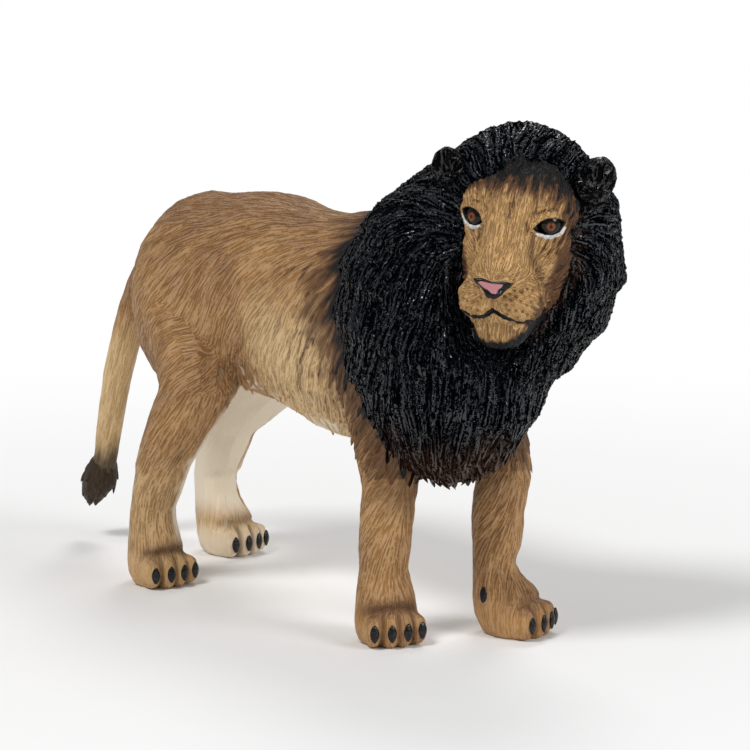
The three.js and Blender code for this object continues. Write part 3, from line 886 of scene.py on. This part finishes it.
def darkOf(skin, broad, fine, fold):
    # brown along the back, and painted shade in the flank's fold and on the rear-facing sides behind the
    # legs
    x, y, z = skin.bare.T
    dark = 0.7 * ramp(skin.normals[:, 2], 0.3, 0.95) + 0.3 * (blobs(skin.points, 16) - 0.3)
    dark += 0.08 + 0.3 * ramp(broad, 0.2, 1.8) + 0.2 * ramp(-x, 4, 18) * ramp(z, 34, 46)
    # painted shade in the flank's fold
    dark += 0.45 * bump(fold - 0.5, 3.2) * (0.6 + 0.4 * ramp(fine, -1, 1))
    # painted shade on the surfaces that face backwards, behind the legs
    dark += 0.5 * ramp(-skin.normals[:, 0], 0.1, 0.8) * ramp(z, 50, 38) * ramp(z, 8, 14)
    return np.where(skin.isPart("tail", "tail_tuft"), 0.05 + 0.95 * ramp(z, 40, 55), np.clip(dark, 0, 1))


def paleOf(skin):
    # pale on the low ribs, the hind legs and the tail
    x, y, z = skin.bare.T
    pale = ramp(z, 64, 48) * ramp(x, -7, 3) * ramp(x, 29, 15) * skin.isPart("torso")
    pale += 0.45 * skin.isPart("right_hind_leg") * ramp(z, 30, 18)
    pale += 0.8 * skin.isPart("left_hind_leg") * ramp(z, 14, 5) + skin.isPart("tail") * ramp(z, 50, 38)
    return pale


def blacksOf(skin, lie, mane, pawShade):
    # black, and brown round it, beside the mane and on the tuft, and rust in the mane
    x, y, z = skin.bare.T
    headX, headY, headZ = inHead(skin.bare).T
    legs = skin.isPart(*legNames)
    ragged = streaks(skin.points, lie, *furLook["ragged"])
    low = np.maximum(legs, ramp(z, 54, 44) * ramp(x, 2, 12))
    soot = ramp(skin.toMane + 1.1 * ragged, 4.5 - 3.7 * low, 0.6 - 1.6 * low)
    umberAndShade = ramp(skin.toMane + 1.6 * ragged, 11, 3) * np.where(legs, 0.5, 0.85)
    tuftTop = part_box("tail_tuft")[1].z / mm
    tip = ramp(z + 0.8 * ragged, tuftTop + 6, tuftTop - 1) * 0.85
    soot = np.where(skin.isPart("tail", "tail_tuft"), tip, soot)
    soot[skin.isPart("tail_tuft")] = 0.92
    soot[skin.isPart(*earNames) | (skin.into > 0.5)] = 1
    roots = ramp(skin.into + 0.5 * ragged, 2.2, 0.2)
    roots *= ramp(headX, -6, 0) * ramp(headY, -2, 4) * ramp(headZ, 9, 5)
    rust = np.maximum(ramp(z + 4 * blobs(skin.points, 4), 43, 35) * 0.85, 0.6 * roots) * mane
    # the paws' painted shade goes into the same channel as the umber beside the mane
    return {"soot": soot, "umberAndShade": np.maximum(umberAndShade, pawShade), "rust": rust}


coatLook = {
    "tan": paint(189, 141, 82),
    "pale": paint(219, 184, 131),
    "brown": paint(134, 90, 44),
    # the groove colour paints shade into the hollows between strokes
    "groove": paint(84, 54, 31),
    "cream": paint(232, 219, 197),
    "soot": paint(17, 16, 17),
    "umberAndShade": paint(82, 54, 35),
    "strokes": (0.32, 2.4, 0.07),  # width and length in mm, and contrast
    "strokeDepth": 0.16,
}


def makeCoatMaterial():
    look = coatLook
    coat = Finish("painted coat", 0.55, 0.25)
    strokes = coat.combed(*look["strokes"])
    patches = coat.map(coat.noise(8), 0.35, 0.65)
    base = coat.mix(coat.math("MULTIPLY", patches, 0.3), look["tan"], look["brown"])
    base = coat.mix(coat.stored("dark"), base, look["brown"])
    base = coat.mix(coat.stored("pale"), base, look["pale"])
    # the ridges of the strokes are painted lighter toward cream: a painted highlight
    ridge = coat.mix(coat.math("MULTIPLY", strokes, 0.16), base, look["cream"])
    # the hollows between strokes, and the grooves kept in deep, are painted darker: painted shade
    hollow = coat.map(strokes, 0.6, 0)
    deep = coat.math("MULTIPLY_ADD", hollow, 0.4, coat.stored("deep"))
    groove = coat.math("MULTIPLY", deep, coat.stored("furred"))
    shadeInGrooves = coat.mix(groove, ridge, look["groove"])
    creamy = coat.mix(coat.stored("cream"), shadeInGrooves, look["cream"])
    umberAndShade = coat.mix(coat.stored("umberAndShade"), creamy, look["umberAndShade"])
    coat.colour(coat.mix(coat.stored("soot"), umberAndShade, look["soot"]))
    coat.rough(coat.map(strokes, 0, 1, 0.66, 0.46))
    height = coat.math("MULTIPLY", strokes, coat.math("MULTIPLY_ADD", coat.stored("furred"), 0.85, 0.15))
    coat.lift(coat.math("MULTIPLY_ADD", coat.noise(0.25), 0.1, height), look["strokeDepth"])
    return coat.material


maneLook = {
    "black": paint(2, 3, 4),
    "sheen": paint(14, 19, 28),
    "brown": paint(74, 48, 33),
    "strands": (0.42, 5.5, 0.045),  # width and length in mm, and contrast
    "strandDepth": 0.4,
}


def makeManeMaterial():
    look = maneLook
    mane = Finish("mane paint", 0.34, 0.5)
    strands = mane.combed(*look["strands"])
    raised = mane.math("MULTIPLY", strands, mane.math("MULTIPLY_ADD", mane.stored("crest"), 0.65, 0.35))
    # the raised strands are painted toward the sheen colour: a painted highlight
    tint = mane.mix(raised, look["black"], look["sheen"])
    brown = mane.mix(mane.map(strands, 0, 1, 0.25, 1), look["black"], look["brown"])
    mane.colour(mane.mix(mane.stored("rust"), tint, brown))
    mane.rough(mane.map(raised, 0, 1, 0.5, 0.2))
    mane.shine(mane.map(raised, 0.25, 0.9, 0.0, 0.65))
    mane.lift(raised, look["strandDepth"])
    return mane.material


# Ears

earLook = {
    "black": paint(3, 3, 4),
    "grain": 0.22,  # mm between points
    "swell": 0.05,
    "softening": 3,  # passes
    "strokes": (0.05, 0.5, 4),  # depth, width and length in mm, in the shape
    "strands": (0.5, 3, 0.06),  # width and length in mm, and contrast, in the paint
    "strandDepth": 0.3,
}


def makeEars():
    ears = Finish("ear paint", 0.3, 0.3)
    ears.shader.inputs["Base Color"].default_value = earLook["black"]
    strands = ears.combed(*earLook["strands"])
    ears.shine(ears.map(strands, 0.3, 0.9, 0.03, 0.6))
    ears.lift(strands, earLook["strandDepth"])
    depth, width, length = earLook["strokes"]
    for name in earNames:
        ear = copyOf(name + "_hair", [name])
        bake(ear, swell(earLook["swell"]), clayed(earLook["grain"]), smoothed(earLook["softening"]))
        points, normals = pointsOf(ear), normalsOf(ear)
        spread = points - points.mean(axis=0) + headBasis[:, 2] * 3
        lie = combedOver(spread, normals)
        movePoints(ear, points + normals * (depth * streaks(points, lie, width, length))[:, None])
        keep(ear, "hairLie", lie)
        finishPiece(ear, ears.material, "mane", name)


# Loose tips of hair: along the belly, at the elbows, under the bib and round the tail

tipSets = {
    # length, width, how far the tip lifts and drops, and the space between tips, in mm
    "belly_fringe": (2.2, 1.1, 0.05, 0.6, 1.5),
    "elbow_fringe": (2.8, 1.4, 0.15, 0.9, 1.6),
    "bib_fringe": (2.8, 1.3, 0.1, 0.8, 1.9),
    "tail_tips": (2.4, 1.4, 0.15, 0.3, 1.9),
}
tipSunk = 0.25  # mm that a tip's root lies under the skin
tipBack = 0.25  # the share of a tip's length that lies behind its root
carried = ("cream", "furred", "dark", "pale", "soot", "umberAndShade", "rust", "deep", "crest")


def makeLeaf():
    # a rod with eight sides and rings to taper and bend, one unit long and one wide
    bm = bmesh.new()
    bmesh.ops.create_cone(bm, cap_ends=True, segments=8, radius1=0.5, radius2=0.5, depth=1)
    sides = [e for e in bm.edges if abs(e.verts[0].co.z - e.verts[1].co.z) > 0.5]
    bmesh.ops.subdivide_edges(bm, edges=sides, cuts=5)
    leaf = bpy.data.meshes.new("leaf")
    bm.to_mesh(leaf)
    bm.free()
    return leaf


def makeTips(skin, name, chosen, material, slot):
    # each tip is a flat tapering lock that lies along the hair and lifts a little at its end
    length, width, lift, drop, spacing = tipSets[name]
    spots = np.flatnonzero(chosen)
    roots = spots[spaced(skin.points[spots], spacing)]
    leaf = makeLeaf()
    shape = np.array([v.co for v in leaf.vertices])
    along = shape[:, 2] + 0.5
    taper = np.sqrt(np.clip(1 - along ** 1.8, 0, 1)) * (0.7 + 0.3 * np.minimum(along / 0.3, 1)) + 0.05
    paths = []
    bm = bmesh.new()
    for i in roots:
        size = dice.uniform(0.7, 1.25)
        sway, phase = dice.uniform(-0.4, 0.4), dice.uniform(0, 6.3)
        outward, ahead = skin.normals[i], skin.lie[i]
        path = skin.points[i] + size * length * (along - tipBack)[:, None] * ahead
        path = path + outward * (lift * size * along ** 1.5 * 2 - tipSunk)[:, None]
        path = path - np.outer(drop * along ** 2, [0, 0, 1])
        aside = sway * np.sin(along * 3 + phase) + shape[:, 0] * width * taper
        path = path + np.cross(outward, ahead) * aside[:, None]
        path = path + outward * (shape[:, 1] * 0.5 * width * taper)[:, None]
        paths.append(path)
        bm.from_mesh(leaf)
    piece = objectFrom(bm, name)
    movePoints(piece, np.concatenate(paths))
    owners = np.repeat(roots, len(shape))
    for key in carried:
        values = np.empty(len(skin.points))
        skin.piece.data.attributes[key].data.foreach_get("value", values)
        keep(piece, key, values[owners])
    keep(piece, "hairLie", skin.lie[owners])
    finishPiece(piece, material, slot)
    print("tips", name, len(roots))


def makeAllTips(skin, coat, mane):
    x, y, z = skin.points.T
    tilt = skin.normals[:, 2]
    torso = skin.isPart("torso")
    belly = torso & (tilt < -0.3) & (tilt > -0.62) & (x > -26) & (x < 30) & (z < 52) & (skin.into < -1)
    makeTips(skin, "belly_fringe", belly, coat, "coat")
    elbow = (torso | skin.isPart("right_foreleg", "left_foreleg")) & (skin.toMane < 7)
    elbow &= (z < 50) & (z > 31) & (x > 8)
    makeTips(skin, "elbow_fringe", elbow, coat, "coat")
    bib = (skin.into > 0) & (z < 39) & (tilt < 0.1)
    makeTips(skin, "bib_fringe", bib, mane, "mane")
    makeTips(skin, "tail_tips", skin.isPart("tail_tuft"), coat, "tuft")


# Face, all in the head's frame: y to the lion's left, z up

faceLook = {
    "gold": paint(205, 158, 97),
    "cream": paint(232, 205, 160),
    "brown": paint(108, 70, 43),
    # the groove colour paints shade into hollows, creases and pits
    "groove": paint(84, 54, 31),
    "black": paint(14, 13, 14),
    "white": paint(235, 232, 228),
    "pink": paint(186, 128, 132),
    "strokes": (0.24, 2.0, 0.055),  # width and length in mm, and contrast
    "strokeDepth": 0.26,
}
faceSet = {
    "front": 2,  # mm ahead of the head's middle, where its marks begin
    "leftEye": 1.06,  # the left eye is drawn this much nearer and narrower
    "strokes": (0.45, 2.2),  # width and length in mm, in the shape
    "wrinkles": (1.1, 5),
    "beard": (0.9, 3.5),
    "ragged": (0.36, 2.6),
    "socket": 0.95,  # depths in mm
    "lid": 0.25,
    "nosePad": 0.24,
    "nostril": 0.3,
    "lip": 0.55,
    "philtrum": 0.2,
    "cheek": 0.3,
    "crease": 0.28,
    "pit": 0.3,
    "pitSpacing": 0.95,
    "padSides": (2, 6.6),  # where the whiskers' pits are, on both sides
    "padHeights": (-9.8, -5),
}
notDrawn = 9  # mm, a gap that keeps a mark off
eyeOutline = [
    (4.7, 4.3), (5.5, 5.25), (6.5, 5.75), (7.6, 5.85), (8.5, 5.65), (9.2, 5.2), (8.9, 4.35), (8.4, 3.6),
    (7.5, 3.15), (6.4, 3.2), (5.4, 3.65),
]
noseOutline = [
    (-3.5, -3.6), (-1.9, -3.3), (0, -3.7), (1.8, -3.4), (3.6, -3.5), (2.9, -4.6), (2.2, -5.2),
    (1.6, -6.0), (0.7, -6.6), (0, -6.75), (-0.7, -6.4), (-1.2, -5.6), (-1.9, -5.0), (-2.7, -4.5),
]
pinkOutline = [
    (-2.4, -4.1), (-1.9, -3.85), (0.2, -4.05), (2.0, -3.9), (1.8, -4.4), (1.3, -4.8), (0.95, -5.6),
    (0.2, -5.6), (-0.5, -5.1), (-1.3, -4.85), (-2.0, -4.4),
]
mouthLine = [
    (-5.7, -10.4), (-4, -11.0), (-2, -10.6), (-0.9, -9.9), (0, -9.05), (0.8, -9.3), (1.8, -10.0),
    (2.8, -10.45), (4.2, -10.95), (5.8, -10.8),
]
philtrumLine = [(0, -6.6), (0, -9.0)]
nostrilLine = [(1.2, -5.2), (2.3, -4.6)]  # on both sides
cheekLine = [(4.6, 3.6), (4.6, 1.0), (5.2, -1.5), (6.1, -3.6), (6.9, -5.5)]  # on both sides
tanOutline = [
    (-8.0, 9.0), (-4.4, 10.1), (-1.6, 10.8), (2.3, 10.8), (6.0, 9.8), (8.2, 8.1), (8.9, 6.0), (8.7, 1.9),
    (7.9, -1.7), (7.1, -5), (7.1, -8), (6.1, -10.6), (5.0, -11.2), (4.4, -13.0), (2.7, -14.5), (0.3, -15.2),
    (-2.0, -15.0), (-3.9, -13.6), (-4.9, -11.4), (-6.2, -10.6), (-7.2, -8.5), (-7.6, -6), (-7.8, -3),
    (-8.8, -1), (-10.2, 2), (-10.4, 5.5), (-9.6, 7.8),
]
creaseMarks = [
    [(6.6, 2.4), (6.2, 0.6), (5.6, -0.6)], [(7.6, 2.2), (7.3, 0.6), (6.7, -0.8)],
    [(8.3, 1.6), (8.0, -0.4)], [(-5.2, 2.6), (-5.6, 0.8)],
    [(-6.6, 2.4), (-6.8, 0.4), (-6.4, -1.2)], [(4.4, 6.4), (5.6, 7.2), (7.4, 7.3)],
    [(8.6, -2.4), (7.6, -5.6), (7.4, -7.4)], [(-4.2, 6.4), (-5.4, 7.1), (-7.2, 7.2)],
    [(3.4, 5.2), (3.8, 3.6)],
]


def makeFaceMaterial():
    look = faceLook
    face = Finish("painted face", 0.5, 0.3)
    strokes = face.combed(*look["strokes"])
    patches = face.map(face.noise(3), 0.35, 0.65)
    base = face.mix(face.math("MULTIPLY", patches, 0.2), look["gold"], look["brown"])
    # the ridges of the strokes are painted lighter toward cream: a painted highlight
    ridged = face.mix(face.math("MULTIPLY", strokes, 0.22), base, look["cream"])
    # the hollows between strokes are painted darker, painted shade, and so is deep: painted shade in
    # creases, wrinkles and pits, and dark hair strokes by the outline
    grooveShadeShare = face.map(face.stored("pad"), 0, 1, 0.5, 0.15)
    deep = face.math("MULTIPLY_ADD", face.map(strokes, 0.45, 0.05), grooveShadeShare, face.stored("deep"))
    shadeInGrooves = face.mix(deep, ridged, look["groove"])
    shaded = face.mix(face.stored("shade"), shadeInGrooves, face.mix(strokes, look["groove"], look["brown"]))
    colour = face.mix(face.stored("soot"), shaded, look["black"])
    marks = (("lipGap", 0.42, "black"), ("noseGap", 0, "black"), ("pinkGap", 0, "pink"),
             ("whiteGap", 0, "white"), ("eyeGap", 0.14, "black"))
    for name, edge, tint in marks:
        colour = face.mix(face.map(face.stored(name), edge + 0.05, edge - 0.05), colour, look[tint])
    face.colour(colour)
    face.rough(face.map(face.stored("glossGap"), 0.1, -0.1, 0.52, 0.22))
    face.lift(face.math("MULTIPLY", strokes, face.map(face.stored("glossGap"), 0, 0.3)), look["strokeDepth"])
    return face.material


def drawn(gap, x):
    # a mark is on the front of the head only
    return np.where(x > faceSet["front"], gap, notDrawn)


def eyeSide(y):
    # both eyes have one outline, and the left one is drawn a little smaller
    return np.abs(y) * np.where(y > 0, faceSet["leftEye"], 1)


def faceMarks(x, y, z):
    # how far each point is from each painted mark, in mm
    side = np.abs(y)
    eye = drawn(outlineGap(eyeOutline, eyeSide(y), z), x)
    white = drawn(outlineGap(eyeOutline, eyeSide(y) - 0.2, z + 0.85), x)
    white = np.where(side - 0.5 * (z - 4.3) > 5.2, np.maximum(white, 0.02 - eye), notDrawn)
    nose = drawn(outlineGap(noseOutline, y, z), x)
    pink = drawn(outlineGap(pinkOutline, y, z), x)
    lip = drawn(lineGap(mouthLine, y, z), x)
    return {
        "eyeGap": eye,
        "whiteGap": white,
        "noseGap": nose,
        "pinkGap": pink,
        "lipGap": lip,
        "glossGap": np.minimum(np.minimum(eye, nose), lip - 0.2),
    }


def carveFace(face, points, normals, lie, marks):
    # cuts the face's details in, and returns the shade that settles in them
    x, y, z = inHead(points).T
    side = np.abs(y)
    eye, nose, lip = marks["eyeGap"], marks["noseGap"], marks["lipGap"]
    look = faceSet
    crease = drawn(lineGap(cheekLine, side, z), x)
    philtrum = drawn(lineGap(philtrumLine, y, z), x)
    nostril = drawn(lineGap(nostrilLine, side, z), x)
    far = ramp(eye, 0.2, 0.8) * ramp(nose, 0.1, 0.5) * ramp(lip, 0.2, 0.6)
    strokes = streaks(points, lie, *look["strokes"])
    wrinkles = streaks(points, lie, *look["wrinkles"])
    brow = ramp(z, 4.5, 7) * ramp(side, 7.5, 4)
    rise = look["lid"] * bump(eye - 0.35, 0.3) - look["socket"] * ramp(-eye, -0.05, 0.3)
    rise += look["nosePad"] * ramp(-nose, -0.1, 0.3) - look["nostril"] * bump(nostril, 0.3)
    rise -= look["lip"] * bump(lip, 0.36) + look["philtrum"] * bump(philtrum, 0.25)
    rise -= look["cheek"] * bump(crease, 0.45)
    rise += far * (0.1 * strokes + (0.08 + 0.12 * brow) * wrinkles)
    # painted shade in the cheek creases and between the brow's wrinkles
    deep = 0.45 * bump(crease, 0.35) + 0.4 * brow * ramp(-wrinkles, 0.4, 1.6)
    for mark in creaseMarks:
        fold = bump(drawn(lineGap(mark, y, z), x), 0.28)
        rise -= look["crease"] * fold
        # painted shade in each crease mark
        deep = np.maximum(deep, 0.5 * fold)
    beard = streaks(points, lie, *look["beard"])
    deep = deep + 0.3 * ramp(z, -10.8, -11.6) * ramp(-beard, 0.2, 1.5)
    (inner, outer), (low, high) = look["padSides"], look["padHeights"]
    padded = (x > look["front"]) & (side > inner) & (side < outer) & (z > low) & (z < high)
    pads = np.flatnonzero(padded & (lip > 0.8) & (nose > 0.6))
    for i in spaced(points[pads], look["pitSpacing"]):
        pit = bump(np.linalg.norm(points - points[pads[i]], axis=1), dice.uniform(0.26, 0.42))
        rise -= look["pit"] * pit
        # painted shade in each pit
        deep = np.maximum(deep, 0.6 * pit)
    movePoints(face, points + normals * rise[:, None])
    return deep, strokes


def faceTones(points, lie, deep, strokes):
    # the shares of black, brown and dark strokes round the tan of the face
    x, y, z = inHead(points).T
    ragged = streaks(points, lie, *faceSet["ragged"])
    outline = drawn(outlineGap(tanOutline, y, z), x)
    outline -= 0.2 * np.sin(4.2 * y) * ramp(z, -11, -12)  # tufts under the chin
    broad = ramp(y, 5, 7) * ramp(z, 4, -1)  # the brown band on the left cheek
    spread = 0.15 + 0.85 * ramp(z, -11, -6)
    browWidth = 0.5 + 1.5 * ramp(z, -2, 5) * ramp(y, -8, -3)
    hairs = ramp(outline, -3.5, 0) * ramp(z, -2, 4)
    return {
        "soot": ramp(outline + 0.6 * spread * ragged - broad, 0.1 * spread, 1.5 * spread),
        "shade": 0.95 * ramp(outline + 0.25 * browWidth * ragged, -browWidth, 0.15),
        "deep": np.maximum(deep, 0.55 * hairs * ramp(-strokes, 0.2, 1.4)),
        "pad": ramp(z, -4.6, -5.6) * ramp(z, -10.6, -9.6),
    }


def makeFace(skin):
    face = skin.parted("head_skin", "head", *seatNames)
    bake(face, divided(1))
    refine(face)
    points, normals = pointsOf(face), normalsOf(face)
    x, y, z = inHead(points).T
    lie = combedOver(faceLie(points), normals)
    marks = faceMarks(x, y, z)
    deep, strokes = carveFace(face, points, normals, lie, marks)
    values = {"hairLie": lie} | marks | faceTones(points, lie, deep, strokes)
    for name, value in values.items():
        keep(face, name, value)
    finishPiece(face, makeFaceMaterial(), "face", "head", "nose")
    print("face", len(face.data.polygons), "faces")
    makeEyes(face, x, y, z)


def refine(face):
    # more points where the eyes, nose and mouth are cut
    bm = bmesh.new()
    bm.from_mesh(face.data)
    x, y, z = inHead(np.array([f.calc_center_median() for f in bm.faces]) / mm).T
    marks = [outlineGap(eyeOutline, np.abs(y), z), outlineGap(noseOutline, y, z), lineGap(mouthLine, y, z)]
    near = (np.min(marks, axis=0) < 0.9) & (x > faceSet["front"])
    edges = list({e for f, chosen in zip(bm.faces, near) if chosen for e in f.edges})
    bmesh.ops.subdivide_edges(bm, edges=edges, cuts=1, use_grid_fill=True)
    bm.to_mesh(face.data)
    bm.free()


eyeLook = {
    "radius": 2.6,  # mm
    "cap": 0.55,  # mm of the ball ahead of its rim, before it is sunk
    "sunk": 0.3,
    "iris": 0.88,
    "pupil": 0.3,
    "amber": paint(126, 68, 28),
    "rust": paint(58, 26, 11),
    "black": paint(7, 6, 7),
}


def makeEyes(face, x, y, z):
    look = Finish("eye gloss", 0.05, 0.3)
    radial = look.stored("offAxis")
    iris, pupil = eyeLook["iris"], eyeLook["pupil"]
    mottled = look.mix(look.map(look.noise(0.5), 0.45, 0.75), eyeLook["amber"], eyeLook["rust"])
    rimmed = look.mix(look.map(radial, iris - 0.3, iris), mottled, eyeLook["rust"])
    ringed = look.mix(look.map(radial, iris - 0.06, iris + 0.06), rimmed, eyeLook["black"])
    look.colour(look.mix(look.map(radial, pupil + 0.08, pupil - 0.08), ringed, eyeLook["black"]))
    points, normals = pointsOf(face), normalsOf(face)
    onRim = (np.abs(outlineGap(eyeOutline, eyeSide(y), z) - 0.2) < 0.2) & (x > faceSet["front"])
    for side, sign in (("right", -1), ("left", 1)):
        rim = onRim & (sign * y > 0)
        gaze = unit(normals[rim].mean(axis=0) * 0.7 + headBasis[:, 0] * 0.3)
        centre = points[rim].mean(axis=0) - gaze * (eyeLook["radius"] - eyeLook["cap"] + eyeLook["sunk"])
        bm = bmesh.new()
        bmesh.ops.create_uvsphere(bm, u_segments=64, v_segments=48, radius=eyeLook["radius"] * mm)
        turn = Vector(gaze).to_track_quat("Z", "Y").to_matrix().to_4x4()
        bmesh.ops.transform(bm, matrix=Matrix.Translation(Vector(centre) * mm) @ turn, verts=bm.verts)
        eye = objectFrom(bm, side + "_eye_gloss")
        offset = pointsOf(eye) - centre
        away = np.linalg.norm(offset - (offset @ gaze)[:, None] * gaze, axis=1)
        keep(eye, "offAxis", np.where(offset @ gaze > 0, away, notDrawn))
        finishPiece(eye, look.material, "eye", side + "_eye")


def makeSkin():
    skin = Skin()
    print("skin", len(skin.points), "points")
    groomFur(skin)
    coat, mane = makeCoatMaterial(), makeManeMaterial()
    for name in coatNames:
        finishPiece(skin.parted(name + "_fur", name), coat, "coat", name)
    finishPiece(skin.parted("tail_tuft_hair", "tail_tuft"), coat, "tuft", "tail_tuft")
    finishPiece(skin.parted("mane_hair", "mane", *earNames), mane, "mane", "mane")
    makeEars()
    makeFace(skin)
    makeClaws()
    makeAllTips(skin, coat, mane)
    bpy.data.objects.remove(skin.piece)


aim, back = placeCamera()
placeStudio(aim, back)
makeSkin()

scene.view_settings.view_transform = "Standard"
